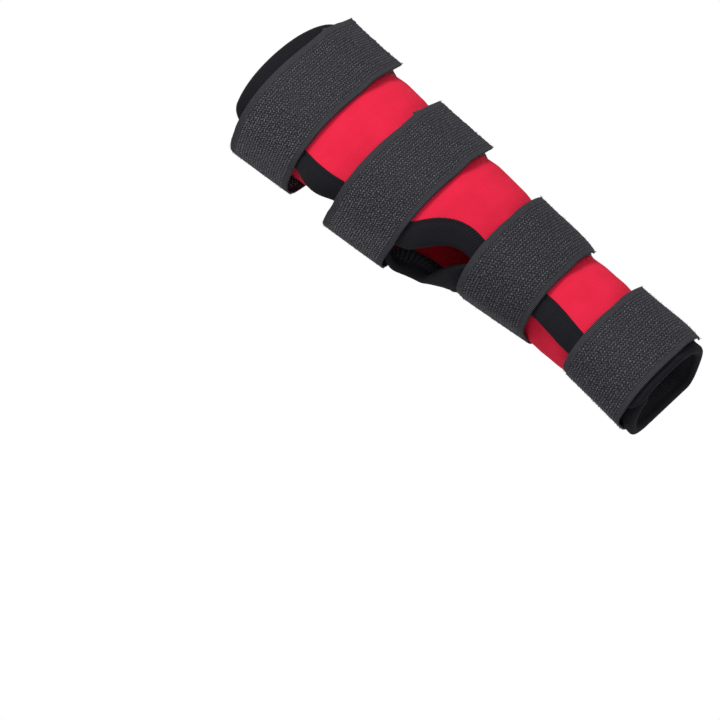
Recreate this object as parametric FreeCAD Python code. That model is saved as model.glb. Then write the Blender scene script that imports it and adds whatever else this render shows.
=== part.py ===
import FreeCAD, Part
import math
import os

# Wrap guard: one neoprene sheet wrapped into a tapered sleeve and held shut by four hook
# straps. Millimetres. X runs along the sleeve from the wide mouth to the narrow one, Z is up
# and the seam is on the -Y side. An angle is in degrees round the sleeve from the top towards
# the seam side, so 180 is the middle of the flat back that the guard lies on. The sheet's far
# side folds along a line at FOLD_ANGLE: past it the sheet is the flap, which opens.

# ---- sleeve ----
LENGTH = 250.0
# x, reach from the middle to the fold side, reach to the seam side, half the height
STATIONS = (
    (-125.0, 37.6, 41.7, 30.2),
    (-62.5, 34.1, 37.2, 26.6),
    (-10.0, 30.6, 33.0, 24.7),
    (31.0, 27.6, 25.0, 20.9),
    (73.0, 25.4, 22.4, 19.1),
    (125.0, 22.0, 29.6, 20.2),
)
MIDDLE_Y = 4.41             # puts the bounding box's middle on the X axis
BACK_HALF = 15.2            # half the width of the flat back
BACK_ANGLE = 150.0          # where the flat back starts

# ---- neoprene sheet ----
SHEET = 4.0                 # foam core with a fabric on each face
FABRIC = 0.6
GLUE = 0.3                  # film between the core and each fabric
FOLD_ANGLE = -105.0
FOLD_GAP = 0.25             # from the fold line to each panel's end
FLAP_LIFT = 2.5             # how far the flap rises to pass over the under panel
UNDER_SINK = 2.6            # how far the under panel dips to pass under the flap

# ---- edges of the sheet ----
# x, angle of the flap's edge without its notch
FLAP_LIP = ((-125.0, 79.0), (-75.0, 76.0), (-45.0, 83.0), (-20.0, 88.0), (8.0, 77.0), (35.0, 67.0),
            (60.0, 65.0), (84.0, 74.0), (125.0, 74.0))
UNDER_LIP = 40.0
FLAP_NOTCH = (9.0, 26.0, 24.0)      # middle x, half length, depth in degrees
UNDER_NOTCH = (-9.0, 42.0, 76.0)
NOTCH_SPAN = (-51.0, 36.0)
LIP_BINDING = 12.0
MOUTH_BINDING = 11.0

# ---- reflective strip on the back ----
STRIP_HALF = 15.0
STRIP_LENGTH = 225.0
STRIP = 0.5                 # thickness
STITCH_INSET = 2.0
STITCH_WIDTH = 0.6
STITCH_TOP = 0.35
STITCH_BOTTOM = 0.05

# ---- straps: straight tape on a taper curves towards the wide mouth at both its ends ----
# furthest x of the tape's middle, how far it has curved back BEND_SPAN away, and the angle there
STRAPS = ((-97.5, 6.3, 20.0), (-32.5, 5.5, 15.0), (38.0, 1.8, 35.0), (102.8, 1.5, 0.0))
BEND_SPAN = 80.0
BEND_END = 95.0             # the sewn end runs square from here
STRAP_HALF = 19.0
TAPE = 1.1
HOOKS = 0.5
HOOK_GAP = 0.06
TIP_ANGLE = -64.0
PEEL_ANGLE = 20.0           # where the free tip starts to bend up
SWING_ANGLE = 122.0         # where the strap bends away from its sewn base
BASE_END = 139.0
BASE_GAP = 0.3              # the base stands on the stitches
TAPE_GAP = 0.25             # from a bend line to the end of each length of tape
HOOK_START = -22.0
HOOK_SIDE = 1.5             # hooks stop short of the tape's edges

# ---- loop pads under the tips ----
PAD = 1.5
PAD_GAP = 0.12              # the pad's backing stands off the face
PAD_START = -25.0
PAD_LENGTH = 52.0
PAD_LOWEST = -138.0         # pads stop short of the face that the guard lies on
PAD_HALF = 18.0
PAD_FOLD_GAP = 1.0

ROUND_STEP = 7.0            # degrees between the points of a curved outline
STRAP_STEP = 8.5


def spread(start, stop, count):
    return [start + (stop - start) * i / count for i in range(count + 1)]


def ease(share):
    share = min(max(share, 0.0), 1.0)
    return share * share * (3.0 - 2.0 * share)


def at(x, rows, column):
    """One column of rows at x, on a cubic through the rows."""
    last = len(rows) - 1
    i = max(j for j in range(last) if rows[j][0] <= x or j == 0)

    def slope(j):
        before, after = rows[max(j - 1, 0)], rows[min(j + 1, last)]
        return (after[column] - before[column]) / (after[0] - before[0])

    near, far = rows[i], rows[i + 1]
    run = far[0] - near[0]
    t = (x - near[0]) / run
    return ((2 * t ** 3 - 3 * t ** 2 + 1) * near[column] + (t ** 3 - 2 * t ** 2 + t) * run * slope(i)
            + (3 * t ** 2 - 2 * t ** 3) * far[column] + (t ** 3 - t ** 2) * run * slope(i + 1))


def skin_point(x, angle, offset):
    """The point at this angle, offset outwards from the sleeve's outer face."""
    angle = (angle + 180.0) % 360.0 - 180.0
    side, column = (-1.0, 2) if angle > 0 else (1.0, 1)
    half_width, half_height = at(x, STATIONS, column), at(x, STATIONS, 3)
    round_top = abs(angle)
    if round_top <= 90.0:
        across = (half_width + offset) * math.sin(math.radians(round_top))
        up = (half_height + offset) * math.cos(math.radians(round_top))
    else:
        corner = math.radians(90.0 * min((round_top - 90.0) / (BACK_ANGLE - 90.0), 1.0))
        across = BACK_HALF + (half_width - BACK_HALF + offset) * math.cos(corner)
        up = -(half_height + offset) * math.sin(corner)
    if round_top > BACK_ANGLE:
        across = BACK_HALF * (180.0 - round_top) / (180.0 - BACK_ANGLE)
    return FreeCAD.Vector(x, MIDDLE_Y + side * across, STRIP + half_height + up)


def degrees_for(x, angle, length):
    """How many degrees this length takes up round the outer face."""
    return length / skin_point(x, angle - 0.5, 0).distanceToPoint(skin_point(x, angle + 0.5, 0))


# ---- where the sheet's edges run ----

def notch(x, shape):
    middle, half_length, depth = shape
    share = min(abs(x - middle) / half_length, 1.0)
    return depth * math.cos(math.pi * share / 2) ** 2


def flap_lip(x):
    return at(x, FLAP_LIP, 1) - notch(x, FLAP_NOTCH)


def under_lip(x):
    return UNDER_LIP + notch(x, UNDER_NOTCH)


def binding_turn(x, lip):
    """Degrees that the lip binding covers at x, square to a lip that may slant."""
    one_mm = degrees_for(x, lip(x), 1.0)
    slant = (lip(x + 0.5) - lip(x - 0.5)) / one_mm
    return LIP_BINDING * one_mm * math.sqrt(1 + slant * slant)


def flap_lay(angle):
    return FLAP_LIFT * ease((angle + 20.0) / 85.0)


def under_lay(angle):
    return -UNDER_SINK * ease((130.0 - angle) / 50.0)


def fold_turn(x):
    return degrees_for(x, FOLD_ANGLE, FOLD_GAP)


# ---- solids ----

def edge_through(points):
    if len(points) == 2:
        return Part.LineSegment(points[0], points[1]).toShape()
    curve = Part.BSplineCurve()
    curve.interpolate(Points=points, Parameters=spread(0.0, 1.0, len(points) - 1))
    return curve.toShape()


def solid_through(outlines):
    """A closed solid through flat outlines, each a list of runs of points."""
    wires = [Part.Wire([edge_through(run) for run in outline]) for outline in outlines]
    return Part.makeLoft(wires, True)


def angle_runs(start, stop):
    """Angles from start to stop in runs that break at the flat back's two sides."""
    breaks = [a for a in (BACK_ANGLE, 360.0 - BACK_ANGLE) if start < a < stop]
    ends = [start] + breaks + [stop]
    runs = []
    for low, high in zip(ends, ends[1:]):
        flat = low >= BACK_ANGLE and high <= 360.0 - BACK_ANGLE
        runs.append(spread(low, high, 1 if flat else max(4, math.ceil((high - low) / ROUND_STEP))))
    return runs


def sheet(stations, start, stop, outer, inner, lay):
    """A curved sheet from angle start(x) to stop(x), between two offsets."""
    widest = max(stations, key=lambda x: stop(x) - start(x))
    counts = [len(run) - 1 for run in angle_runs(start(widest), stop(widest))]
    outlines = []
    for x in stations:
        runs = angle_runs(start(x), stop(x))
        runs = [spread(run[0], run[-1], count) for run, count in zip(runs, counts)]
        tops = [[skin_point(x, a, lay(a) + outer) for a in run] for run in runs]
        bottoms = [[skin_point(x, a, lay(a) + inner) for a in reversed(run)] for run in reversed(runs)]
        far_side = [tops[-1][-1], bottoms[0][0]]
        near_side = [bottoms[-1][-1], tops[0][0]]
        outlines.append(tops + [far_side] + bottoms + [near_side])
    return solid_through(outlines)


def along(start, stop):
    """Stations from start to stop, close together beside the notch."""
    return spread(start, NOTCH_SPAN[0], 5)[:-1] + spread(*NOTCH_SPAN, 14) + spread(NOTCH_SPAN[1], stop, 6)[1:]


def panel_pieces(name, whole, core, fabric, binding, lay):
    """Foam core, two fabrics and three bindings. Each pair is the piece's end angles at x."""
    half = LENGTH / 2
    inside = half - MOUTH_BINDING
    foam = sheet(along(-half + FABRIC, half - FABRIC), *core, -FABRIC - GLUE, FABRIC + GLUE - SHEET, lay)
    lip = sheet(along(-inside, inside), *binding, 0.0, -SHEET, lay)
    wide = sheet(spread(-half, -inside, 2), *whole, 0.0, -SHEET, lay)
    narrow = sheet(spread(inside, half, 2), *whole, 0.0, -SHEET, lay)
    return {
        name + "_panel_core": foam,
        name + "_panel_face": sheet(along(-inside, inside), *fabric, 0.0, -FABRIC, lay),
        name + "_panel_lining": sheet(along(-inside, inside), *fabric, FABRIC - SHEET, -SHEET, lay),
        name + "_lip_binding": lip.cut(foam),
        name + "_wide_mouth_binding": wide.cut(foam),
        name + "_narrow_mouth_binding": narrow.cut(foam),
    }


def under_pieces():
    def fold_end(x):
        return 360.0 + FOLD_ANGLE - fold_turn(x)

    def inner_edge(x):
        return under_lip(x) + binding_turn(x, under_lip)

    def core_end(x):
        return under_lip(x) + binding_turn(x, under_lip) * FABRIC / LIP_BINDING

    return panel_pieces("under", (under_lip, fold_end), (core_end, fold_end),
                        (inner_edge, fold_end), (under_lip, inner_edge), under_lay)


def flap_pieces():
    def fold_end(x):
        return FOLD_ANGLE + fold_turn(x)

    def inner_edge(x):
        return flap_lip(x) - binding_turn(x, flap_lip)

    def core_end(x):
        return flap_lip(x) - binding_turn(x, flap_lip) * FABRIC / LIP_BINDING

    return panel_pieces("flap", (fold_end, flap_lip), (fold_end, core_end),
                        (fold_end, inner_edge), (inner_edge, flap_lip), flap_lay)


def level_box(half_x, half_y, bottom, top):
    corner = FreeCAD.Vector(-half_x, MIDDLE_Y - half_y, bottom)
    return Part.makeBox(2 * half_x, 2 * half_y, top - bottom, corner)


def strip_pieces():
    half = STRIP_LENGTH / 2
    inset = STITCH_INSET + STITCH_WIDTH
    ring = level_box(half - STITCH_INSET, STRIP_HALF - STITCH_INSET, 0.0, STITCH_TOP)
    groove = ring.cut(level_box(half - inset, STRIP_HALF - inset, 0.0, STITCH_TOP))
    body = level_box(half, STRIP_HALF, 0.0, STRIP)
    gap = level_box(half, STRIP_HALF, 0.0, STITCH_BOTTOM)
    return {"reflective_strip": body.cut(groove), "strip_stitching": groove.cut(gap)}


# ---- straps and pads ----

def strap_middle(strap, angle):
    x, bend, furthest = strap
    return x - bend * ((min(angle, BEND_END) - furthest) / BEND_SPAN) ** 2


def tape_offset(angle):
    """The tape's inner face: over the pad, over the flap's lip, bowed out, then on the panel."""
    over_pad = PAD + HOOKS + 0.6
    over_lip = FLAP_LIFT + 0.9
    bowed = 7.5
    if angle <= -20.0:
        return over_pad + 0.8 * ease((-20.0 - angle) / 45.0)
    if angle <= 60.0:
        return over_pad + (over_lip - over_pad) * ease((angle + 20.0) / 80.0)
    if angle <= 114.0:
        return over_lip + (bowed - over_lip) * ease((angle - 84.0) / 30.0)
    return bowed * ease((134.0 - angle) / 20.0)


def ribbon(strap, start, stop, half, inner, outer):
    """A length of tape, straight across, between two offsets from the tape's inner face."""
    outlines = []
    for angle in spread(start, stop, max(2, math.ceil(abs(stop - start) / STRAP_STEP))):
        middle = strap_middle(strap, angle)
        face = tape_offset(angle)
        corners = [skin_point(middle + side * half, angle, face + offset)
                   for side, offset in ((-1, inner), (1, inner), (1, outer), (-1, outer))]
        outlines.append([[corners[i], corners[(i + 1) % 4]] for i in range(4)])
    return solid_through(outlines)


def strap_pieces(number, strap):
    swing = degrees_for(strap[0], SWING_ANGLE, TAPE_GAP)
    peel = degrees_for(strap[0], PEEL_ANGLE, TAPE_GAP)
    base = "strap_%d_" % number
    return {
        base + "base": ribbon(strap, SWING_ANGLE + swing, BASE_END, STRAP_HALF, BASE_GAP, TAPE),
        base + "stitching": ribbon(strap, 135.0, 136.5, STRAP_HALF - 2.0,
                                   TAPE + 0.1, TAPE + 0.4),
        base + "length": ribbon(strap, PEEL_ANGLE + peel, SWING_ANGLE - swing, STRAP_HALF, 0.0, TAPE),
        base + "tip": ribbon(strap, TIP_ANGLE, PEEL_ANGLE - peel, STRAP_HALF, 0.0, TAPE),
        base + "hooks": ribbon(strap, TIP_ANGLE, HOOK_START, STRAP_HALF - HOOK_SIDE, -HOOKS, -HOOK_GAP),
    }


def pad_end(x):
    angle, length = PAD_START, 0.0
    while length < PAD_LENGTH and angle > PAD_LOWEST:
        length += 1.0 / degrees_for(x, angle, 1.0)
        angle -= 1.0
    return angle


def pad_pieces(number, strap):
    middle = strap_middle(strap, TIP_ANGLE)
    middle = min(max(middle, PAD_HALF - LENGTH / 2 + 1.0), LENGTH / 2 - PAD_HALF - 1.0)
    stations = spread(middle - PAD_HALF, middle + PAD_HALF, 4)

    def upper_end(x):
        return FOLD_ANGLE + degrees_for(x, FOLD_ANGLE, PAD_FOLD_GAP)

    def lower_start(x):
        return FOLD_ANGLE - degrees_for(x, FOLD_ANGLE, PAD_FOLD_GAP)

    def level(angle):
        return 0.0

    upper = sheet(stations, upper_end, lambda x: PAD_START, PAD, PAD_GAP, level)
    lower = sheet(stations, lambda x: pad_end(middle), lower_start, PAD, PAD_GAP, level)
    return {"loop_pad_%d" % number: upper, "loop_pad_%d_tail" % number: lower}


def hinge_line(name, first, second):
    direction = second.sub(first).normalize()
    middle = first.add(second).multiply(0.5)
    print("axis %-14s at %8.3f %8.3f %8.3f along %8.5f %8.5f %8.5f"
          % ((name,) + tuple(middle) + tuple(direction)))


def print_hinges():
    half = LENGTH / 2
    hinge_line("flap_open", skin_point(-half, FOLD_ANGLE, PAD), skin_point(half, FOLD_ANGLE, PAD))
    for number, strap in enumerate(STRAPS, 1):
        for name, angle in (("swing", SWING_ANGLE), ("peel", PEEL_ANGLE)):
            ends = [skin_point(strap_middle(strap, angle) + side * STRAP_HALF, angle,
                               tape_offset(angle) + TAPE) for side in (-1, 1)]
            hinge_line("strap_%d_%s" % (number, name), ends[0], ends[1])


def main():
    pieces = under_pieces()
    pieces.update(flap_pieces())
    pieces.update(strip_pieces())
    for number, strap in enumerate(STRAPS, 1):
        pieces.update(strap_pieces(number, strap))
        pieces.update(pad_pieces(number, strap))
    os.makedirs("parts", exist_ok=True)
    box = FreeCAD.BoundBox()
    for name, shape in pieces.items():
        if not shape.isValid() or not shape.Solids:
            print("check", name, shape.ShapeType, len(shape.Solids), shape.isValid())
        box.add(shape.BoundBox)
        shape.exportStep("parts/%s.step" % name)
    print(len(pieces), "nodes, box", box)
    print_hinges()


main()
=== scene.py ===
import math

import bpy
import numpy as np
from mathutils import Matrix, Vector


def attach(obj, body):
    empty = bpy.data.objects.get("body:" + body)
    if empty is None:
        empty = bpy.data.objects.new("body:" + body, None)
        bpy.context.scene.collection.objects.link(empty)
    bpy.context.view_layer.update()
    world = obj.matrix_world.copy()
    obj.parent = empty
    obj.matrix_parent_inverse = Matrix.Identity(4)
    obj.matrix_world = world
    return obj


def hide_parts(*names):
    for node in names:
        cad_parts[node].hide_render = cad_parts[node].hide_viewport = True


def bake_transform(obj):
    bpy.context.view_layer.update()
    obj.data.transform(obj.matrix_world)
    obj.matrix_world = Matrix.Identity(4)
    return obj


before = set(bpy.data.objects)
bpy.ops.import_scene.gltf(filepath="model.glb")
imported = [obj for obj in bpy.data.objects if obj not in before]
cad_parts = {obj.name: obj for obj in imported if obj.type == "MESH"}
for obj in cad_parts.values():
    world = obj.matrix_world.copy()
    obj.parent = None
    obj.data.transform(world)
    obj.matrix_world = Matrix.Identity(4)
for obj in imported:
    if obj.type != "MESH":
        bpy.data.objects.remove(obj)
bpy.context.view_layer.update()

# Wrap guard dressed for looks, on the CAD model's own shape. Lengths are in millimetres until
# a mesh is made. x runs along the sleeve from the wide mouth, an angle is in degrees round it
# from the top towards the seam side, and an offset stands out from the sleeve's outer face.

MM = 0.001

# ---- the CAD model's sleeve: x, reach to the fold side, reach to the seam side, half height ----
STATIONS = np.array((
    (-125.0, 37.6, 41.7, 30.2),
    (-62.5, 34.1, 37.2, 26.6),
    (-10.0, 30.6, 33.0, 24.7),
    (31.0, 27.6, 25.0, 20.9),
    (73.0, 25.4, 22.4, 19.1),
    (125.0, 22.0, 29.6, 20.2),
))
HALF = 125.0
MIDDLE_Y = 4.41
BACK_HALF = 15.2
BACK_ANGLE = 150.0
SHEET = 4.0
FABRIC = 0.6
INNER_SWELL = 0.35          # share of the outer face's swelling that shows inside
FACE_GAP = 0.02             # between layers that touch
PANEL_INSET = 5.0           # from a mouth to the panels' ends, hidden inside the binding
LIP_INSET = 4.5             # the same from the long edge
SPLIT = 192.0               # under the strip, where the two halves of the sheet meet here
SPLIT_LAP = 0.3

STRIP = 0.5
STRIP_LENGTH = 225.0
STRIP_HALF = 15.0

# x and angle of the flap's edge without its notch
FLAP_LIP = np.array((
    (-125.0, 80.0), (-75.0, 83.0), (-45.0, 86.0), (-20.0, 88.0), (8.0, 77.0),
    (35.0, 67.0), (60.0, 65.0), (84.0, 74.0), (125.0, 74.0),
))
UNDER_LIP = 40.0
FLAP_NOTCH = (9.0, 26.0, 24.0)      # middle x, half length, depth in degrees
UNDER_NOTCH = (-11.0, 43.0, 79.0)

# furthest x of the tape's middle, how far it has curved back BEND_SPAN away, and the angle there
STRAPS = ((-97.5, 6.3, 20.0), (-32.5, 5.5, 15.0), (38.0, 1.8, 35.0), (102.8, 1.5, 0.0))
BEND_SPAN = 80.0
BEND_END = 95.0
STRAP_HALF = 19.0
TAPE = 1.1
TIP_ANGLE = -64.0           # of the CAD model's pad side; the dressed tip springs off the pad
TIP_SHOWN = -60.0
JOIN_ANGLE = 40.0           # where a strap's two pieces meet
JOIN_LAP = 0.7
OVER_LIP = 3.4              # the tape's height where it passes the flap's bound edge
BOW_ANGLE = 114.0           # where a strap stands off furthest
SEWN_ANGLE = 131.0          # where it is down on the panel again
SWING_BLEND = (SEWN_ANGLE, 113.0)
PEEL_BLEND = (21.0, -8.0)
THREAD_ROWS = (133.0, 136.3)
HOOK_END = -22.0
UNDER_TAPE = 0.05           # the tape's inner face stands off by this
BASE_END = 139.0
BASE_GAP = 0.3
TIP_SPRING = (36.0, 26.0, 6.0, 0.0)     # radius in mm that each tip springs off, 0 if pressed down
BOW = (6.5, 9.0, 0.3, 0.3)              # how far each strap stands off before its sewn end
BASE_PULL = (4.0, 5.0, 0.0, 0.0)        # how far the sewn end is pulled towards the wide mouth

PAD = 1.5
PAD_START = -25.0
PAD_LENGTH = 52.0
PAD_LOWEST = -138.0
PAD_HALF = 18.0
PAD_SELVAGE = 0.55          # height of the pad's flat edge

BINDING = 12.0
CORNER = 9.0                # radius of a panel's corners
PROUD = 0.45                # how far the binding stands out
SEAM = 10.2                 # the binding's stitched groove, in from the edge
STITCH_PITCH = 3.3
STITCH_INSET = 2.3


# ---- shape helpers ----

def ease(share):
    share = np.clip(share, 0.0, 1.0)
    return share * share * (3.0 - 2.0 * share)


def cubic(x, rows, column):
    """One column of rows at x, on a cubic through the rows."""
    xs, values = rows[:, 0], rows[:, column]
    last = len(xs) - 1
    before = np.maximum(np.arange(last + 1) - 1, 0)
    after = np.minimum(np.arange(last + 1) + 1, last)
    slope = (values[after] - values[before]) / (xs[after] - xs[before])
    i = np.clip(np.searchsorted(xs, x, side="right") - 1, 0, last - 1)
    run = xs[i + 1] - xs[i]
    t = (x - xs[i]) / run
    return ((2 * t ** 3 - 3 * t ** 2 + 1) * values[i] + (t ** 3 - 2 * t ** 2 + t) * run * slope[i]
            + (3 * t ** 2 - 2 * t ** 3) * values[i + 1] + (t ** 3 - t ** 2) * run * slope[i + 1])


def skin(x, angle, offset=0.0):
    """Points offset outwards from the sleeve's outer face."""
    x, angle, offset = np.broadcast_arrays(np.asarray(x, float), np.asarray(angle, float),
                                           np.asarray(offset, float))
    angle = (angle + 180.0) % 360.0 - 180.0
    seam_side = angle > 0
    width = np.where(seam_side, cubic(x, STATIONS, 2), cubic(x, STATIONS, 1))
    height = cubic(x, STATIONS, 3)
    turn = np.abs(angle)
    corner = np.radians(90.0 * np.clip((turn - 90.0) / (BACK_ANGLE - 90.0), 0.0, 1.0))
    upper = np.radians(turn)
    across = np.where(turn <= 90.0, (width + offset) * np.sin(upper),
                      BACK_HALF + (width - BACK_HALF + offset) * np.cos(corner))
    across = np.where(turn > BACK_ANGLE, BACK_HALF * (180.0 - turn) / (180.0 - BACK_ANGLE), across)
    up = np.where(turn <= 90.0, (height + offset) * np.cos(upper),
                  -(height + offset) * np.sin(corner))
    y = MIDDLE_Y + np.where(seam_side, -1.0, 1.0) * across
    return np.stack([x, y, STRIP + height + up], axis=-1)


TABLE_ANGLES = np.arange(-180.0, 277.0)
TABLE_XS = np.linspace(-HALF, HALF, 126)
steps = np.linalg.norm(np.diff(skin(TABLE_XS[:, None], TABLE_ANGLES[None, :]), axis=1), axis=2)
TABLE = np.concatenate([np.zeros((len(TABLE_XS), 1)), np.cumsum(steps, axis=1)], axis=1)
TABLE -= TABLE[:, 180:181]


def table_rows(x):
    at = np.clip((x + HALF) / 2.0, 0.0, len(TABLE_XS) - 1.0)
    low = np.minimum(at.astype(int), len(TABLE_XS) - 2)
    share = (at - low)[:, None]
    return TABLE[low] * (1.0 - share) + TABLE[low + 1] * share


def around(x, angle):
    """Length round the outer face from the top to this angle."""
    x, angle = np.broadcast_arrays(np.asarray(x, float), np.asarray(angle, float))
    flat_x, flat_angle = x.ravel(), angle.ravel() + 180.0
    at = np.clip((flat_x + HALF) / 2.0, 0.0, len(TABLE_XS) - 1.0)
    i = np.minimum(at.astype(int), len(TABLE_XS) - 2)
    j = np.clip(flat_angle.astype(int), 0, TABLE.shape[1] - 2)
    s, t = at - i, flat_angle - j
    length = ((TABLE[i, j] * (1 - t) + TABLE[i, j + 1] * t) * (1 - s)
              + (TABLE[i + 1, j] * (1 - t) + TABLE[i + 1, j + 1] * t) * s)
    return length.reshape(x.shape)


def turned(x, length):
    """The angle at this length round the outer face."""
    x, length = np.broadcast_arrays(np.asarray(x, float), np.asarray(length, float))
    out = np.empty(x.size)
    flat_x, flat_length = x.ravel(), length.ravel()
    for start in range(0, x.size, 8000):
        part = slice(start, start + 8000)
        rows = table_rows(flat_x[part])
        j = np.clip((rows <= flat_length[part, None]).sum(axis=1) - 1, 0, rows.shape[1] - 2)
        k = np.arange(len(j))
        share = (flat_length[part] - rows[k, j]) / (rows[k, j + 1] - rows[k, j])
        out[part] = TABLE_ANGLES[j] + share
    return out.reshape(x.shape)


def wander(u, length, seed):
    """A smooth wobble between about -1 and 1, with features about this long."""
    phases = np.random.default_rng(seed).uniform(0.0, 2 * math.pi, 4)
    return sum(np.sin(u * 2 * math.pi / length * rate + phase)
               for rate, phase in zip((1.0, 0.618, 1.43, 0.37), phases)) / 2.6


# ---- the sheet's edges and how its layers lie ----

def notch(x, shape):
    middle, half_length, depth = shape
    share = np.minimum(np.abs(x - middle) / half_length, 1.0)
    return depth * np.cos(math.pi * share / 2) ** 2


def flap_lip(x):
    return cubic(x, FLAP_LIP, 1) - notch(x, FLAP_NOTCH)


def under_lip(x):
    return UNDER_LIP + notch(x, UNDER_NOTCH)


def strap_middle(strap, angle):
    x, bend, furthest = strap
    return x - bend * ((np.minimum(angle, BEND_END) - furthest) / BEND_SPAN) ** 2


def relief(x, angle):
    """The foam stands fuller between the straps and is pressed a little under them."""
    clear = np.min([np.abs(x - strap_middle(strap, np.clip(angle, -64.0, 137.0))) - STRAP_HALF
                    for strap in STRAPS], axis=0)
    folded = np.where(angle > 180.0, angle - 360.0, angle)
    round_part = ease((146.0 - np.abs(folded)) / 30.0)
    strapped = ease((150.0 - folded) / 20.0) * ease((folded + 90.0) / 20.0)
    puff = 0.9 * ease(clear / 9.0) - 0.35 * ease(-clear / 3.0)
    swell = 0.3 * wander(x + 0.3 * folded, 46.0, 3) * wander(folded, 70.0, 4)
    return round_part * (puff * strapped + swell)


def hump(value, middle, half):
    """1 at the middle, falling smoothly to 0 this far to either side."""
    return ease(1.0 - np.abs(value - middle) / half)


def flap_lay(x, angle):
    """The flap springs off the panel beside strap 1 and sags in beside the notch."""
    spring = 3.8 * hump(x, -67.0, 18.0) * ease((angle - 48.0) / 28.0)
    sag = 3.0 * hump(x, 12.0, 22.0) * ease((angle - 24.0) / 26.0)
    return 2.5 * ease((angle + 20.0) / 85.0) + spring - sag


def under_lay(x, angle):
    """The under panel dips below the flap, more so beside strap 1, and flares at two places:
    at the notch and at the corner of the wide mouth."""
    flare = 9.0 * hump(x, -16.0, 26.0) * hump(angle, 112.0, 24.0)
    flare += 6.5 * hump(x, -127.0, 12.0) * hump(angle, 108.0, 22.0)
    dip = 6.0 * hump(x, -66.0, 21.0) * hump(angle, 112.0, 48.0)
    return -2.6 * ease((130.0 - angle) / 50.0) + flare - dip


# ---- meshes ----

def make(name, points, faces, uv=None, smooth=True):
    mesh = bpy.data.meshes.new(name)
    mesh.from_pydata([], [], [])
    points = np.asarray(points, float).reshape(-1, 3) * MM
    faces = np.asarray(faces, np.int32)
    sides = faces.shape[1]
    mesh.vertices.add(len(points))
    mesh.vertices.foreach_set("co", points.ravel())
    mesh.loops.add(faces.size)
    mesh.loops.foreach_set("vertex_index", faces.ravel())
    mesh.polygons.add(len(faces))
    mesh.polygons.foreach_set("loop_start", np.arange(0, faces.size, sides, dtype=np.int32))
    mesh.polygons.foreach_set("loop_total", np.full(len(faces), sides, np.int32))
    mesh.update(calc_edges=True)
    if uv is not None:
        layer = mesh.uv_layers.new(name="cloth")
        layer.data.foreach_set("uv", np.asarray(uv, float).reshape(-1, 2)[faces.ravel()].ravel())
    mesh.validate()
    mesh.polygons.foreach_set("use_smooth", np.full(len(mesh.polygons), smooth))
    piece = bpy.data.objects.new(name, mesh)
    bpy.context.scene.collection.objects.link(piece)
    return piece


def lattice(rows, columns, start=0, flip=False, loop=False):
    """Quads of a grid of points, row after row; loop joins the last column to the first."""
    index = start + np.arange(rows * columns).reshape(rows, columns)
    if loop:
        index = np.concatenate([index, index[:, :1]], axis=1)
    quads = np.stack([index[:-1, :-1], index[1:, :-1], index[1:, 1:], index[:-1, 1:]], axis=-1)
    quads = quads.reshape(-1, 4)
    return quads[:, ::-1] if flip else quads


def band(first, second):
    """Quads between two lines of point numbers."""
    return np.stack([first[:-1], second[:-1], second[1:], first[1:]], axis=-1)


def shell(name, outer, inner, uv, open_ends=()):
    """A thin closed layer between two grids of points, rows by columns."""
    rows, columns = outer.shape[:2]
    count = rows * columns
    top = np.arange(count).reshape(rows, columns)
    low = top + count
    faces = [lattice(rows, columns), lattice(rows, columns, count, flip=True)]
    rims = {"first": (low[0], top[0]), "last": (top[-1], low[-1]),
            "left": (top[:, 0], low[:, 0]), "right": (low[:, -1], top[:, -1])}
    faces += [band(*rim) for end, rim in rims.items() if end not in open_ends]
    return make(name, np.concatenate([outer.reshape(-1, 3), inner.reshape(-1, 3)]),
                np.concatenate(faces), np.concatenate([uv.reshape(-1, 2)] * 2))


def tube_set(name, paths, radii, sides=6):
    """Many short round threads: paths is (threads, points, 3) and radii is (points,)."""
    paths = np.asarray(paths, float)
    threads, length = paths.shape[:2]
    ahead = np.gradient(paths, axis=1)
    ahead /= np.linalg.norm(ahead, axis=2, keepdims=True) + 1e-9
    helper = np.where(np.abs(ahead[..., 2:3]) < 0.9, (0.0, 0.0, 1.0), (1.0, 0.0, 0.0))
    side = np.cross(ahead, helper)
    side /= np.linalg.norm(side, axis=2, keepdims=True)
    up = np.cross(side, ahead)
    turn = np.arange(sides) * 2 * math.pi / sides
    ring = (side[:, :, None] * np.cos(turn)[None, None, :, None]
            + up[:, :, None] * np.sin(turn)[None, None, :, None])
    points = paths[:, :, None] + ring * np.asarray(radii, float)[None, :, None, None]
    one = lattice(length, sides, loop=True)
    faces = (one[None] + (np.arange(threads) * length * sides)[:, None, None]).reshape(-1, 4)
    return make(name, points, faces)


# ---- materials ----

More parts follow.
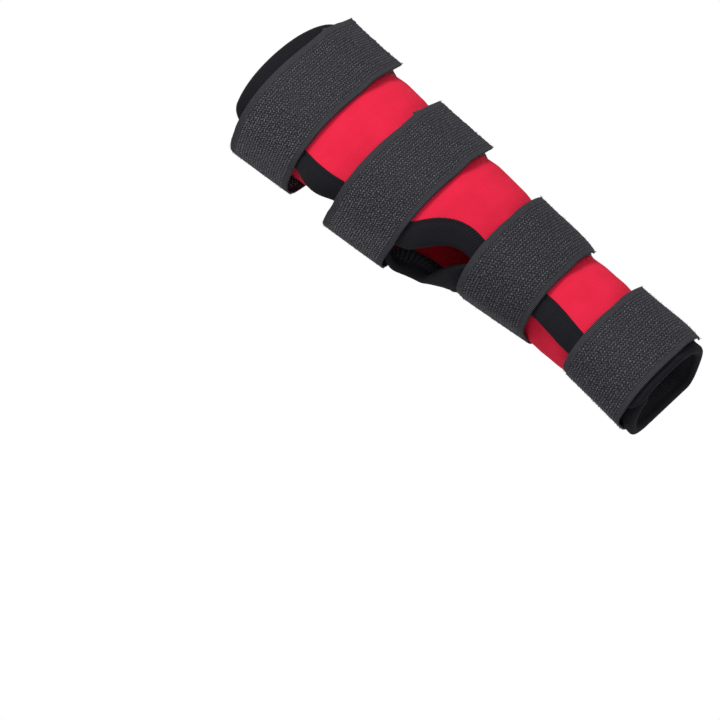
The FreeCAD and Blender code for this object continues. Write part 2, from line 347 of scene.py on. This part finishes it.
class Shader:
    def __init__(self, name, **settings):
        self.material = bpy.data.materials.new(name)
        self.material.use_nodes = True
        self.nodes = self.material.node_tree.nodes
        self.links = self.material.node_tree.links
        self.surface = next(n for n in self.nodes if n.type == "BSDF_PRINCIPLED")
        for socket, value in settings.items():
            self.surface.inputs[socket.replace("_", " ")].default_value = value

    def put(self, socket, value):
        if isinstance(value, bpy.types.NodeSocket):
            self.links.new(value, socket)
        else:
            socket.default_value = value

    def uv(self):
        node = self.nodes.new("ShaderNodeUVMap")
        node.uv_map = "cloth"
        split = self.nodes.new("ShaderNodeSeparateXYZ")
        self.links.new(node.outputs[0], split.inputs[0])
        return node.outputs[0], split.outputs[0], split.outputs[1]

    def place(self):
        return self.nodes.new("ShaderNodeTexCoord").outputs["Object"]

    def math(self, operation, a, b=0.0, c=0.0):
        node = self.nodes.new("ShaderNodeMath")
        node.operation = operation
        for socket, value in zip(node.inputs, (a, b, c)):
            self.put(socket, value)
        return node.outputs[0]

    def wave(self, along, pitch, phase=0.0):
        """0 to 1 and back once in each pitch."""
        turn = self.math("MULTIPLY_ADD", along, 2 * math.pi / pitch, phase)
        return self.math("MULTIPLY_ADD", self.math("SINE", turn), 0.5, 0.5)

    def noise(self, vector, scale, detail=3.0, roughness=0.55):
        node = self.nodes.new("ShaderNodeTexNoise")
        self.links.new(vector, node.inputs["Vector"])
        node.inputs["Scale"].default_value = scale
        node.inputs["Detail"].default_value = detail
        node.inputs["Roughness"].default_value = roughness
        return node.outputs["Fac"]

    def fade(self, value, full, none):
        """1 at one value, falling smoothly to 0 at the other."""
        node = self.nodes.new("ShaderNodeMapRange")
        node.interpolation_type = "SMOOTHSTEP"
        for socket, value in zip(node.inputs, (value, full, none, 1.0, 0.0)):
            self.put(socket, value)
        return node.outputs[0]

    def ramp(self, value, *stops):
        node = self.nodes.new("ShaderNodeValToRGB")
        while len(node.color_ramp.elements) < len(stops):
            node.color_ramp.elements.new(1.0)
        for element, (position, colour) in zip(node.color_ramp.elements, stops):
            element.position = position
            element.color = (*colour, 1.0)
        self.put(node.inputs[0], value)
        return node.outputs[0]

    def finish(self, colour, height, depth, roughness=None):
        """depth is the real depth of the pattern in millimetres."""
        bump = self.nodes.new("ShaderNodeBump")
        bump.inputs["Distance"].default_value = depth * MM
        self.links.new(height, bump.inputs["Height"])
        self.links.new(bump.outputs[0], self.surface.inputs["Normal"])
        self.links.new(colour, self.surface.inputs["Base Color"])
        if roughness is not None:
            self.links.new(roughness, self.surface.inputs["Roughness"])
        return self.material


def knit_material(name, lit, shade):
    """Jersey: fine wales along the sleeve with little V stitches."""
    s = Shader(name, Roughness=0.85, Specular_IOR_Level=0.12)
    vector, u, v = s.uv()
    wale = s.wave(v, 0.95)
    zigzag = s.math("MULTIPLY", s.math("PINGPONG", v, 0.475), 0.8)
    course = s.wave(s.math("ADD", u, zigzag), 0.78)
    fuzz = s.noise(vector, 2.2, 4.0, 0.7)
    stitch = s.math("MULTIPLY_ADD", course, 0.4, s.math("MULTIPLY", wale, 0.6))
    height = s.math("MULTIPLY_ADD", fuzz, 0.35, stitch)
    cloud = s.noise(vector, 0.045, 3.0)
    # Painted shade and highlight: the colour follows the stitch height as well as a large random cloud,
    # so the grooves between stitches are painted darker and the raised stitches lighter.
    tone = s.math("MULTIPLY_ADD", cloud, 0.5, s.math("MULTIPLY", height, 0.45))
    colour = s.ramp(tone, (0.2, shade), (0.75, lit))
    return s.finish(colour, height, 0.14)


def twill_material(name):
    """Binding tape: soft fine ribs with a slight slant, and bold ribs on the inner side."""
    s = Shader(name, Roughness=0.85, Specular_IOR_Level=0.2)
    vector, u, v = s.uv()
    waver = s.math("MULTIPLY", s.noise(vector, 0.25, 2.0), 0.5)
    rib = s.wave(s.math("ADD", s.math("MULTIPLY_ADD", v, 0.35, u), waver), 0.85)
    thread = s.wave(s.math("MULTIPLY_ADD", u, -0.25, v), 0.5)
    inside = s.fade(v, 20.0, 17.0)
    bold = s.math("MULTIPLY", s.wave(s.math("ADD", u, waver), 1.35), s.math("MULTIPLY", inside, 1.6))
    height = s.math("ADD", s.math("MULTIPLY_ADD", thread, 0.25, rib), bold)
    lint = s.noise(vector, 1.6, 5.0, 0.7)
    # Painted highlight and shade: the colour follows the rib height as well as random lint, so the rib
    # tops are painted lighter and the grooves darker; the lightest stop is the painted highlight.
    tone = s.math("MULTIPLY_ADD", lint, 0.6, s.math("MULTIPLY", height, 0.32))
    colour = s.ramp(tone, (0.15, (0.003, 0.003, 0.0045)), (0.6, (0.009, 0.009, 0.013)),
                    (1.0, (0.030, 0.030, 0.038)))
    return s.finish(colour, height, 0.12)


def tape_material(name):
    """Hook tape's outer face: slanted dashes in columns between two ribbed selvages."""
    s = Shader(name, Roughness=0.72, Specular_IOR_Level=0.3)
    vector, u, v = s.uv()
    fibre = s.noise(vector, 1.5, 5.0, 0.75)
    jitter = s.math("MULTIPLY_ADD", s.noise(vector, 0.6, 2.0), 2.2, -1.1)
    slant = s.math("MULTIPLY", s.math("PINGPONG", u, 1.5), 0.8)
    dash = s.wave(s.math("ADD", s.math("ADD", v, slant), jitter), 1.25)
    chain = s.wave(s.math("ADD", u, s.math("MULTIPLY", jitter, 0.5)), 1.5)
    # The painted highlights on the dashes grow stronger further round towards the sewn end.
    bold = s.math("MULTIPLY_ADD", s.fade(v, 66.0, 20.0), 0.26, 0.36)
    column = s.math("MULTIPLY_ADD", chain, 0.6, 0.4)
    # The raised dashes are painted light as a highlight, broken up at random by the fibre noise; they
    # also lift the bump.
    knuckle_highlight = s.math("MULTIPLY_ADD", fibre, 2.2, -0.15)
    knuckle_highlight = s.math("MULTIPLY", s.math("MULTIPLY", dash, column), knuckle_highlight)
    # The gaps between dashes and chains are sunk and painted near black as painted shade.
    hole = s.math("MULTIPLY", s.math("SUBTRACT", 1.0, dash), s.math("SUBTRACT", 1.0, chain))
    body = s.math("MULTIPLY_ADD", knuckle_highlight, bold, s.math("MULTIPLY_ADD", fibre, 0.5, 0.06))
    body = s.math("MULTIPLY_ADD", hole, -0.2, body)
    rib = s.math("MULTIPLY_ADD", s.wave(v, 0.66), 0.36, s.math("MULTIPLY_ADD", fibre, 0.4, 0.02))
    edge = s.fade(s.math("ABSOLUTE", u), STRAP_HALF - 2.4, STRAP_HALF - 3.6)
    pick = s.nodes.new("ShaderNodeMix")
    for socket, value in ((pick.inputs["Factor"], edge), (pick.inputs[2], body), (pick.inputs[3], rib)):
        s.put(socket, value)
    height = pick.outputs[0]
    # Colour follows the height: the holes are painted shade, and the lightest stop is the painted
    # highlight on the dashes and selvage ribs.
    colour = s.ramp(height, (0.08, (0.002, 0.002, 0.003)), (0.32, (0.010, 0.010, 0.014)),
                    (0.5, (0.027, 0.027, 0.037)), (0.76, (0.19, 0.19, 0.22)))
    return s.finish(colour, height, 0.3)


def film_material(name):
    """Reflective tape: pale grey film with a faint bead grain."""
    s = Shader(name, Roughness=0.5, Metallic=0.15, Specular_IOR_Level=0.5)
    vector, _, v = s.uv()
    grain = s.noise(vector, 3.5, 3.0, 0.8)
    cloud = s.noise(vector, 0.08, 3.0)
    rib = s.wave(v, 0.5)
    tone = s.math("MULTIPLY_ADD", grain, 0.35, s.math("MULTIPLY", cloud, 0.65))
    colour = s.ramp(tone, (0.3, (0.40, 0.385, 0.40)), (0.7, (0.50, 0.48, 0.50)))
    height = s.math("MULTIPLY_ADD", rib, 0.4, grain)
    return s.finish(colour, height, 0.05)


def plain_weave(name, dark, light, scale, depth, **settings):
    """Thread, pile, hooks or foam: an even colour broken up by a fine grain of this scale."""
    s = Shader(name, **settings)
    where = s.place()
    grain = s.noise(where, scale, 5.0, 0.7)
    colour = s.ramp(grain, (0.3, dark), (0.7, light))
    return s.finish(colour, grain, depth)


RED = knit_material("red jersey", (0.90, 0.022, 0.070), (0.62, 0.010, 0.036))
# The lining is the face's red jersey, given darker colours as painted shade for the dim inside of the
# sleeve.
LINING_IN_PAINTED_SHADE = knit_material("red lining in painted shade", (0.50, 0.006, 0.022), (0.30, 0.002, 0.009))
TWILL = twill_material("black twill")
WEAVE = tape_material("grey tape")
FILM = film_material("reflective film")
WHITE = plain_weave("white thread", (0.62, 0.61, 0.60), (0.86, 0.85, 0.84), 1800.0, 0.05,
                    Roughness=0.6)
BLACK = plain_weave("black thread", (0.008, 0.008, 0.010), (0.03, 0.03, 0.035), 1800.0, 0.05,
                    Roughness=0.6)
PILE = plain_weave("loop pile", (0.004, 0.004, 0.005), (0.022, 0.022, 0.026), 1300.0, 0.5,
                   Roughness=0.95, Sheen_Weight=0.2)
HOOK = plain_weave("hook nylon", (0.012, 0.012, 0.015), (0.04, 0.04, 0.05), 1500.0, 0.03,
                   Roughness=0.45)
FOAM = plain_weave("neoprene foam", (0.010, 0.010, 0.011), (0.035, 0.035, 0.037), 1500.0, 0.15,
                   Roughness=0.9)


def dress(piece, material, slot, *nodes):
    piece.data.materials.append(material)
    if nodes:
        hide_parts(*nodes)
    return piece


# ---- pieces on the flap side: their placement is baked into their points, and they ride on no body ----


def bend_at_fold(piece, half=0.005):
    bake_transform(piece)


# ---- the sheet: two halves, each a face, a foam core and a lining ----

def sheet_grid(first, last, step=1.0):
    """Grid of x and angle: rows along x, columns from first(x) to last(x)."""
    end = HALF - PANEL_INSET
    x = np.linspace(-end, end, int(round(2 * end / step)) + 1)
    low, high = first(x), last(x)
    longest = np.max(around(x, high) - around(x, low))
    share = np.linspace(0.0, 1.0, int(longest / step) + 1)
    return (np.repeat(x[:, None], len(share), axis=1),
            low[:, None] + (high - low)[:, None] * share[None, :])


def split_at(x, angle, lap):
    return turned(x, around(x, np.full_like(x, angle)) + lap)


def half_sheet(name, first, last, lay, ride):
    """Face, foam core and lining. The core fills what lies between the other two."""
    x, angle = sheet_grid(first, last)
    uv = np.stack([x, around(x, angle)], axis=-1)
    level, swell = lay(x, angle), relief(x, angle)
    inner_swell = swell * INNER_SWELL
    layers = (("face", level + swell, level + swell - FABRIC, RED, "red_fabric"),
              ("core", level + swell - FABRIC - FACE_GAP,
               level + inner_swell + FABRIC - SHEET + FACE_GAP, FOAM, "foam"),
              ("lining", level + inner_swell + FABRIC - SHEET,
               level + inner_swell - SHEET, LINING_IN_PAINTED_SHADE, "red_fabric"))
    for layer, outer, inner, material, slot in layers:
        piece = shell(name + "_" + layer, skin(x, angle, outer), skin(x, angle, inner), uv)
        dress(piece, material, slot, "%s_panel_%s" % (name, layer))
        ride(piece)


half_sheet("under",
           lambda x: turned(x, around(x, under_lip(x)) + LIP_INSET),
           lambda x: split_at(x, SPLIT, SPLIT_LAP),
           under_lay, lambda piece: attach(piece, "under"))
half_sheet("flap",
           lambda x: split_at(x, SPLIT - 360.0, -SPLIT_LAP),
           lambda x: turned(x, around(x, flap_lip(x)) - LIP_INSET),
           flap_lay, bend_at_fold)


# ---- bindings: one folded tape round the three free edges of each half ----

def edge_path(lip, inward):
    """Points along the edge, and how far in the tape's inner edge lies, in x and length round."""
    def lip_at(x):
        return around(x, lip(x))

    split = SPLIT if inward > 0 else SPLIT - 360.0
    lines = []
    for end in (-1.0, 1.0):
        corner_x = end * (HALF - CORNER)
        lip_s = float(lip_at(np.array([corner_x]))[0])
        split_s = float(around(np.array([end * HALF]), np.array([split]))[0]) + SPLIT_LAP * inward
        turn = np.linspace(0.0, math.pi / 2, 19)
        corner = np.stack([corner_x + end * CORNER * np.cos(turn),
                           lip_s + inward * CORNER * (1.0 - np.sin(turn))], axis=-1)
        mouth = np.array([[end * HALF, split_s], [end * HALF, lip_s + inward * CORNER]])
        lines.append(np.concatenate([mouth[:1], corner]))
    x = np.linspace(-HALF + CORNER, HALF - CORNER, 465)
    middle = np.stack([x, lip_at(x)], axis=-1)
    path = np.concatenate([lines[0], middle[1:-1], lines[1][::-1]])
    length = np.concatenate([[0.0], np.cumsum(np.linalg.norm(np.diff(path, axis=0), axis=1))])
    at = np.linspace(0.0, length[-1], int(length[-1] / 0.75) + 1)
    path = np.stack([np.interp(at, length, path[:, k]) for k in range(2)], axis=-1)
    ahead = np.gradient(path, at, axis=0)
    heading = np.unwrap(np.arctan2(ahead[:, 1], ahead[:, 0]))
    curl = np.gradient(heading, at) * -inward
    inside = np.stack([-ahead[:, 1], ahead[:, 0]], axis=-1) * inward
    inside /= np.linalg.norm(inside, axis=1, keepdims=True)
    on_lip = np.abs(path[:, 0]) < HALF - 20.0
    width = np.where(on_lip & (-curl > 0.8 / BINDING), 0.8 / np.maximum(-curl, 1e-6), BINDING)
    width = np.convolve(np.pad(width, 8, mode="edge"), np.full(17, 1 / 17), "valid")
    inner = path + inside * width[:, None]
    limit = HALF - BINDING
    inner[:, 0] = np.clip(inner[:, 0], -limit, limit)
    lip_s = lip_at(inner[:, 0]) + inward * BINDING
    held = np.maximum(inner[:, 1], lip_s) if inward > 0 else np.minimum(inner[:, 1], lip_s)
    inner[:, 1] = np.where(on_lip, inner[:, 1], held)
    return at, path, inner


def tape_profile():
    """The folded tape's outline: how far in from the edge, and offset from the outer face."""
    over = [(BINDING, 0.03), (11.85, 0.34), (11.4, 0.5), (10.7, 0.40), (SEAM, 0.22), (9.7, 0.40),
            (9.0, 0.52), (8.0, 0.56), (7.0, 0.56), (6.0, 0.54), (5.0, 0.52), (4.0, 0.50), (3.1, 0.48)]
    turn = np.radians(np.linspace(90.0, -90.0, 13))
    bend = list(zip(2.3 - 2.3 * np.cos(turn), -SHEET / 2 + (SHEET / 2 + PROUD) * np.sin(turn)))
    mirrored = [(d, -SHEET - h * 0.85) for d, h in reversed(over)]
    on_sheet = (4.0, 8.0, 11.6)
    back = [(d, -SHEET - FACE_GAP) for d in reversed(on_sheet)]
    turn = np.radians(np.linspace(-90.0, 90.0, 7))
    inner_bend = list(zip(2.5 - 1.9 * np.cos(turn),
                          -SHEET / 2 + (SHEET / 2 - FACE_GAP) * np.sin(turn)))
    front = [(d, FACE_GAP) for d in on_sheet]
    return np.array(over + bend + mirrored + back + inner_bend + front)


def binding(name, lip, inward, lay, ride, seed):
    at, path, inner = edge_path(lip, inward)
    profile = tape_profile()
    share = profile[:, 0] / BINDING
    flat = path[:, None] + (inner - path)[:, None] * share[None, :, None]
    x, s = flat[..., 0], flat[..., 1]
    angle = turned(x, s)
    shown = np.abs(profile[:, 1] + SHEET / 2) > SHEET / 2 + 0.1
    middle = np.clip(1.0 - np.abs(profile[:, 0] - 5.5) / 5.5, 0.0, 1.0)
    pucker = 0.14 * wander(at, 6.5, seed) + 0.10 * wander(at, 17.0, seed + 1)
    pucker = pucker[:, None] * middle[None, :]
    tuck = -0.07 * (0.5 + 0.5 * np.cos(at * 2 * math.pi / STITCH_PITCH))[:, None] * np.exp(
        -((profile[:, 0] - SEAM) / 0.6) ** 2)[None, :]
    lift = (pucker + tuck) * shown[None, :] * np.where(profile[:, 1] > -SHEET / 2, 1.0, -1.0)[None, :]
    fade = np.where(profile[:, 1] > -SHEET / 2, 1.0, INNER_SWELL)[None, :]
    points = skin(x, angle, lay(x, angle) + relief(x, angle) * fade + profile[None, :, 1] + lift)
    points[..., 2] = np.maximum(points[..., 2], 0.02)
    rows, columns = points.shape[:2]
    across = np.concatenate([[0.0], np.cumsum(np.linalg.norm(np.diff(profile, axis=0), axis=1))])
    uv = np.stack(np.broadcast_arrays(at[:, None], across[None, :]), axis=-1)
    faces = lattice(rows, columns, loop=True, flip=inward > 0)
    piece = make(name + "_binding", points, faces, uv)
    dress(piece, TWILL, "binding_tape", *["%s_%s_binding" % (name, part)
                                          for part in ("lip", "wide_mouth", "narrow_mouth")])
    ride(piece)


binding("under", under_lip, 1.0, under_lay, lambda piece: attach(piece, "under"), 11)
binding("flap", flap_lip, -1.0, flap_lay, bend_at_fold, 21)


# ---- reflective strip and its stitching ----

def stitch_ring():
    """Stitch ends round the strip, inset from its edges."""
    half_x, half_y = STRIP_LENGTH / 2 - STITCH_INSET, STRIP_HALF - STITCH_INSET
    ring = []
    for start, end in (((-1, -1), (1, -1)), ((1, -1), (1, 1)), ((1, 1), (-1, 1)), ((-1, 1), (-1, -1))):
        a = np.array((start[0] * half_x, start[1] * half_y))
        b = np.array((end[0] * half_x, end[1] * half_y))
        count = int(round(np.linalg.norm(b - a) / STITCH_PITCH))
        ring += [(a + (b - a) * i / count, a + (b - a) * (i + 1) / count) for i in range(count)]
    return ring


def strip_pieces():
    x = np.linspace(-STRIP_LENGTH / 2, STRIP_LENGTH / 2, 451)
    y = np.linspace(-STRIP_HALF, STRIP_HALF, 61)
    grid_x, grid_y = np.meshgrid(x, y, indexing="ij")
    ring = stitch_ring()
    line = np.minimum(np.abs(np.abs(grid_y) - (STRIP_HALF - STITCH_INSET)),
                      np.abs(np.abs(grid_x) - (STRIP_LENGTH / 2 - STITCH_INSET)))
    inside = (np.abs(grid_y) < STRIP_HALF - 1.5) & (np.abs(grid_x) < STRIP_LENGTH / 2 - 1.5)
    dent = 0.26 * np.exp(-(line / 0.55) ** 2)
    pucker = 0.09 * (0.5 + 0.5 * wander(grid_x + 0.25 * grid_y, 9.0, 31)) * ease(line / 3.0) * inside
    edge = 0.18 * np.sin(grid_x * 2 * math.pi / STITCH_PITCH) * np.sign(grid_y)
    edge = edge * ease((np.abs(grid_y) - 12.8) / 2.2)
    holes = np.array([start for start, _ in ring])
    near = np.min([np.hypot(grid_x - hx, grid_y - hy) for hx, hy in holes], axis=0)
    dent = np.maximum(dent, 0.42 * np.exp(-(near / 0.45) ** 2))
    outer = np.stack([grid_x, MIDDLE_Y + grid_y + edge, dent + pucker], axis=-1)
    inner = outer.copy()
    inner[..., 2] = STRIP - FACE_GAP
    outer[..., 2] = np.minimum(outer[..., 2], STRIP - 0.06)
    uv = np.stack([grid_x, grid_y], axis=-1)
    strip = shell("strip", inner, outer, uv)
    dress(strip, FILM, "reflective_film", "reflective_strip")
    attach(strip, "under")
    t = np.linspace(0.0, 1.0, 7)
    paths = []
    for start, end in ring:
        a, b = start + (end - start) * 0.08, start + (end - start) * 0.92
        z = 0.34 - 0.12 * np.sin(math.pi * t)
        x, y = [a[k] + (b[k] - a[k]) * t for k in range(2)]
        paths.append(np.stack([x, MIDDLE_Y + y, z], axis=-1))
    radii = 0.2 * np.array((0.35, 0.8, 1.0, 1.05, 1.0, 0.8, 0.35))
    threads = tube_set("strip_stitches", paths, radii, 8)
    dress(threads, WHITE, "white_thread", "strip_stitching")
    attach(threads, "under")


strip_pieces()


# ---- straps ----

def tape_rest(number, angle):
    """The tape's inner face: off the pad at the tip, down on the flap, over its lip, then sewn."""
    over_pad = PAD + 1.1 + 0.8 * ease((-20.0 - angle) / 45.0)
    bow = BOW[number - 1]
    lifted = np.radians(np.clip(-41.0 - angle, 0.0, 25.0))
    spring = TIP_SPRING[number - 1] * (1.0 / np.cos(lifted) - 1.0)
    on_flap = 3.15 * ease((angle + 34.0) / 90.0) + 0.25 * ease((angle - 50.0) / 10.0)
    top = over_pad + (on_flap - over_pad) * ease((angle + 22.0) / 22.0) + spring
    bowed = OVER_LIP + (bow - OVER_LIP) * ease((angle - 84.0) / 30.0)
    down = bow * ease((SEWN_ANGLE - angle) / (SEWN_ANGLE - BOW_ANGLE))
    return np.where(angle <= 60.0, top, np.where(angle <= BOW_ANGLE, bowed, down))


def strap_grid(number, start, stop, step=0.5):
    """Angle, distance across and length along the tape at each point of a length of it."""
    strap = STRAPS[number - 1]
    length = float(around(np.array([strap[0]]), np.array([start]))[0]
                   - around(np.array([strap[0]]), np.array([stop]))[0])
    rows = int(abs(length) / step) + 1
    angles = np.linspace(start, stop, rows)
    w = np.linspace(-STRAP_HALF, STRAP_HALF, int(2 * STRAP_HALF / step) + 1)
    angle, across = np.meshgrid(angles, w, indexing="ij")
    ragged = 0.9 * wander(across, 5.2, 40 + number) + 0.5 * np.sin(across * 2 * math.pi / 2.6)
    cut_end = ease((TIP_SHOWN + 4.0 - angle) / 4.0) + ease((angle - BASE_END + 4.0) / 4.0)
    shift = ragged * cut_end * 0.6
    x = strap_middle(strap, angle) + across
    along = around(np.clip(x, -HALF, HALF), angle)
    return angle + shift, across, along


def strap_surface(number, angle, across, thickness):
    """Points on the tape, this far out from its inner face."""
    away = np.abs(across) / STRAP_HALF
    corner = ease((TIP_SHOWN + 16.0 - angle) / 16.0)
    fall = np.where((across > 0) & (number > 2), -1.5, 0.35 + 0.2 * math.sin(2.1 * number))
    curl = fall * corner * away ** 3
    crown = -0.12 * away ** 4
    wave = 0.16 * wander(angle * 0.6 + across * 0.2, 24.0, 60 + number)
    wave = wave * ease((100.0 - np.abs(angle - 20.0)) / 40.0)
    middle = strap_middle(STRAPS[number - 1], angle)
    middle = middle - BASE_PULL[number - 1] * ease((angle - 88.0) / 28.0)
    left, right = [np.clip(middle + side * STRAP_HALF, -HALF, HALF) for side in (-1, 1)]
    share = ((across + STRAP_HALF) / (2 * STRAP_HALF))[..., None]
    rest = tape_rest(number, angle) + np.maximum(wave, -0.1) + curl
    ends = [skin(end, angle, rest + crown + thickness) for end in (left, right)]
    return ends[0] * (1.0 - share) + ends[1] * share


def strap_pieces(number):
    strap = STRAPS[number - 1]
    free = "strap_%d" % number
    parts = (("lower", BASE_END, JOIN_ANGLE - JOIN_LAP, ("base", "length"), "last"),
             ("end", JOIN_ANGLE, TIP_SHOWN, ("tip",), "first"))
    for part, start, stop, nodes, open_end in parts:
        angle, across, along = strap_grid(number, start, stop)
        stand = UNDER_TAPE + (BASE_GAP - UNDER_TAPE) * ease((angle - 110.0) / 15.0)
        outer = strap_surface(number, angle, across, TAPE)
        inner = strap_surface(number, angle, across, stand)
        uv = np.stack([across, along], axis=-1)
        piece = shell("%s_%s" % (free, part), outer, inner, uv, (open_end,))
        dress(piece, WEAVE, "strap_tape", *["%s_%s" % (free, node) for node in nodes])
        if part == "lower":
            middle = float(strap_middle(strap, sum(SWING_BLEND) / 2))
            a, b = [Vector(skin(middle, turn, float(tape_rest(number, turn)) + TAPE) * MM)
                    for turn in SWING_BLEND]
            a.x, a.y = b.x, b.y
            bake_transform(piece)
        else:
            a, b = [Vector(skin(strap[0], turn, 4.0) * MM) for turn in PEEL_BLEND]
            a.x, a.z = b.x, b.z
            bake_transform(piece)


def strap_stitching(number):
    """Two rows of dark lockstitch that hold the sewn end."""
    t = np.linspace(0.0, 1.0, 5)
    paths = []
    for angle in THREAD_ROWS:
        for start in np.arange(-STRAP_HALF + 2.0, STRAP_HALF - 4.0, 3.0):
            across = start + 2.5 * t
            turn = np.full_like(t, angle)
            lift = TAPE + 0.05 + 0.14 * np.sin(math.pi * t)
            paths.append(strap_surface(number, turn, across, lift))
    piece = tube_set("strap_%d_thread" % number, paths, 0.24 * np.array((0.4, 0.9, 1.0, 0.9, 0.4)))
    dress(piece, BLACK, "black_thread", "strap_%d_stitching" % number)
    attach(piece, "under")


def lint(number):
    """Loose fibres at the cut end, along the edges and where the tape bends under."""
    draw = np.random.default_rng(90 + number)
    for part, low, high, count, body in (("tip", TIP_SHOWN - 0.5, TIP_SHOWN + 3.0, 60, "_free_tip"),
                                         ("bend", 98.0, 120.0, 150, "")):
        angle = draw.uniform(low, high, count)
        across = draw.uniform(-STRAP_HALF, STRAP_HALF, count)
        at_edge = draw.uniform(0.0, 1.0, count) < 0.25
        across = np.where(at_edge, np.sign(across) * (STRAP_HALF - 0.1), across)
        t = np.linspace(0.0, 1.0, 5)[None, :]
        length = draw.uniform(0.4, 1.6, count)[:, None]
        turn = angle[:, None] + length * t * draw.uniform(-1.2, 1.2, count)[:, None]
        side = across[:, None] + length * t * draw.uniform(-0.7, 0.7, count)[:, None]
        lift = TAPE - 0.1 + length * 0.45 * np.sin(t * draw.uniform(1.2, 2.8, count)[:, None])
        on_tape = np.clip(side, -STRAP_HALF, STRAP_HALF)
        points = strap_surface(number, turn, on_tape, lift)
        points[..., 0] += side - on_tape
        radii = 0.07 * np.array((1.0, 1.0, 0.9, 0.7, 0.3))
        piece = tube_set("strap_%d_%s_lint" % (number, part), points, radii, 3)
        dress(piece, BLACK, "black_thread")
        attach(piece, "strap_%d%s" % (number, body))


def hook_field(number):
    """Small bent hooks under the free tip."""
    draw = np.random.default_rng(70 + number)
    angles = np.arange(TIP_SHOWN + 2.0, HOOK_END, 2.3)
    across = np.arange(-STRAP_HALF + 2.2, STRAP_HALF - 2.0, 1.25)
    angle, w = [g.ravel() for g in np.meshgrid(angles, across, indexing="ij")]
    angle = angle + draw.uniform(-0.3, 0.3, len(angle))
    w = w + draw.uniform(-0.15, 0.15, len(w))
    t = np.linspace(0.0, 1.0, 5)[None, :]
    bend = 0.9 * np.sin(t * math.pi * 0.5) * np.where(np.arange(len(w)) % 2, 1.0, -1.0)[:, None]
    turn = angle[:, None] + bend
    across = w[:, None] + 0.0 * t
    base = strap_surface(number, turn, across, UNDER_TAPE)
    drop = strap_surface(number, turn, across, UNDER_TAPE - 1.0)
    depth = (0.62 * np.sin(t * math.pi * 0.75) + 0.0 * turn)[..., None]
    piece = tube_set("strap_%d_hook_field" % number, base + (drop - base) * depth,
                     0.11 * np.array((1.3, 1.0, 0.9, 0.8, 0.5)), 4)
    dress(piece, HOOK, "hook_field", "strap_%d_hooks" % number)
    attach(piece, "strap_%d_free_tip" % number)


# ---- loop pads ----

def loop_pad(number):
    strap = STRAPS[number - 1]
    middle = min(max(strap_middle(strap, TIP_ANGLE), PAD_HALF - HALF + 1.0), HALF - PAD_HALF - 1.0)
    here = np.array([middle])
    start = float(around(here, np.array([PAD_START]))[0])
    stop = max(start - PAD_LENGTH, float(around(here, np.array([PAD_LOWEST]))[0]))
    s = np.linspace(start, stop, int((start - stop) / 0.7) + 1)
    w = np.linspace(-PAD_HALF, PAD_HALF, int(2 * PAD_HALF / 0.7) + 1)
    length, across = np.meshgrid(s, w, indexing="ij")
    x = middle + across
    angle = turned(x, length)
    draw = np.random.default_rng(80 + number)
    edge = np.minimum(PAD_HALF - np.abs(across), np.minimum(start - length, length - stop))
    tuft = 0.16 * draw.normal(0.0, 1.0, x.shape).clip(-1.5, 1.5) * ease(edge / 2.0)
    selvage = PAD_SELVAGE + (PAD - PAD_SELVAGE) * ease((PAD_HALF - np.abs(across) - 0.9) / 1.4)
    ends = 0.6 + 0.4 * ease(np.minimum(start - length, length - stop) / 1.2)
    outer = skin(x, angle, selvage * ends + tuft + relief(x, angle) * 0.4)
    inner = skin(x, angle, 0.02 + relief(x, angle) * 0.4)
    piece = shell("pile_%d" % number, outer, inner, np.stack([across, length], axis=-1))
    dress(piece, PILE, "loop_pile", "loop_pad_%d" % number, "loop_pad_%d_tail" % number)
    bend_at_fold(piece)


for number in (1, 2, 3, 4):
    strap_pieces(number)
    strap_stitching(number)
    lint(number)
    hook_field(number)
    loop_pad(number)


# ---- background, light and camera ----

AMBIENT = 0.55              # light from all round; the camera sees plain white behind


def stage():
    world = bpy.data.worlds.new("studio")
    bpy.context.scene.world = world
    world.use_nodes = True
    nodes, links = world.node_tree.nodes, world.node_tree.links
    background = next(n for n in nodes if n.type == "BACKGROUND")
    background.inputs["Color"].default_value = (1.0, 1.0, 1.0, 1.0)
    seen = nodes.new("ShaderNodeLightPath").outputs["Is Camera Ray"]
    strength = nodes.new("ShaderNodeMapRange")
    links.new(seen, strength.inputs["Value"])
    strength.inputs["To Min"].default_value = AMBIENT
    strength.inputs["To Max"].default_value = 1.0
    links.new(strength.outputs[0], background.inputs["Strength"])
    for name, where, size, power in (("key", (-0.75, -0.1, 1.05), 0.5, 10.5),
                                     ("fill", (0.9, -0.6, 0.9), 1.0, 2.0)):
        light = bpy.data.lights.new(name, "AREA")
        light.size = size
        light.energy = power
        lamp = bpy.data.objects.new(name, light)
        lamp.location = where
        aim = Vector((0.0, 0.0, 0.03)) - Vector(where)
        lamp.rotation_euler = aim.to_track_quat("-Z", "Y").to_euler()
        bpy.context.scene.collection.objects.link(lamp)


def camera():
    azimuth, elevation, distance = math.radians(45.08), math.radians(57.0), 0.8334
    target = Vector((0.00424, -0.07775, 0.0))
    back = Vector((math.sin(azimuth) * math.cos(elevation), -math.cos(azimuth) * math.cos(elevation),
                   math.sin(elevation)))
    lens = bpy.data.cameras.new("camera")
    lens.lens, lens.sensor_width, lens.clip_end = 87.4, 36.0, 20.0
    view = bpy.data.objects.new("camera", lens)
    view.location = target + back * distance
    view.rotation_euler = back.to_track_quat("Z", "Y").to_euler()
    bpy.context.scene.collection.objects.link(view)
    bpy.context.scene.camera = view


stage()
camera()
bpy.context.scene.view_settings.view_transform = "Standard"
